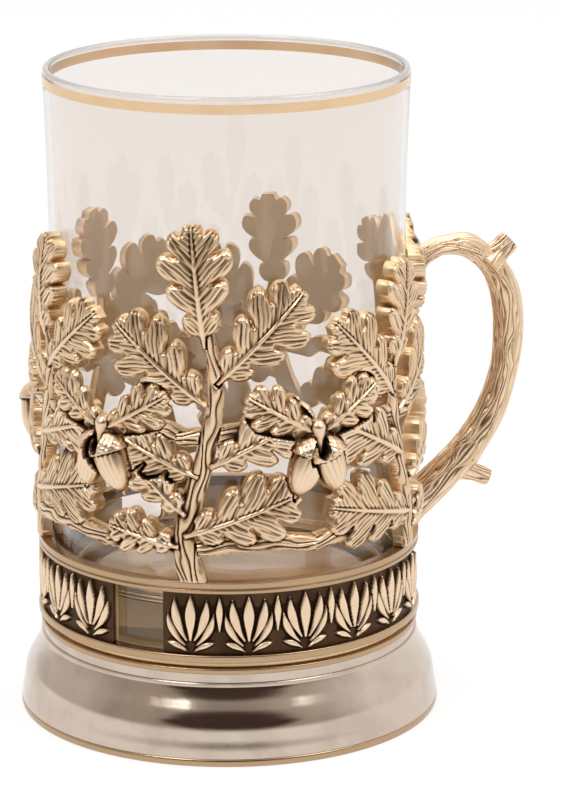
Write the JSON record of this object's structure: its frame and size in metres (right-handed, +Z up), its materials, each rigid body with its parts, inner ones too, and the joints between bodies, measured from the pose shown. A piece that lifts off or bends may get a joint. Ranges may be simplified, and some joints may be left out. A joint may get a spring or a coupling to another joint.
{
  "type": "tea glass holder",
  "caption": "Metal tea glass holder with an openwork oak-leaf cage, branch handle and spun foot, and a thin glass tumbler that lifts out.",
  "frame": {"origin": "centre of the foot's underside, in the plane that it stands on", "axes": "+Z up along the axis of the glass, +X from the axis out along the handle"},
  "size_m": [0.1012, 0.0808, 0.1232],
  "materials": {
    "polished_brass": "polished cast brass",
    "antique_brass": "cast brass with dark oxide in the recesses and rubbed highlights",
    "aged_brass": "brushed brass, slightly tarnished",
    "nickel": "polished nickel plate",
    "clear_glass": "clear glass",
    "gilding": "fired gold band"
  },
  "bodies": {
    "holder": {"foot_rim": "polished_brass", "foot_shell": "nickel", "collar_ring": "polished_brass", "floor_disc": "aged_brass", "lower_rail": "polished_brass", "frieze_panel_front": "antique_brass", "frieze_panel_back": "antique_brass", "frieze_panel_side": "antique_brass", "upper_rail": "polished_brass", "oak_spray_right": "antique_brass", "oak_spray_front": "antique_brass", "oak_spray_left": "antique_brass", "oak_spray_back_left": "antique_brass", "oak_spray_back_right": "antique_brass", "acorn_cluster_right": "antique_brass", "acorn_cluster_left": "antique_brass", "acorn_cluster_back_left": "antique_brass", "acorn_cluster_back": "antique_brass", "trunk_panel": "antique_brass", "handle": "antique_brass"},
    "glass": {"tumbler": "clear_glass", "gilt_band": "gilding"}
  },
  "joints": [
    {"name": "glass_lift", "type": "slide", "parent": "holder", "child": "glass", "axis": [0, 0, 1], "range_m": [0, 0.085]}
  ]
}
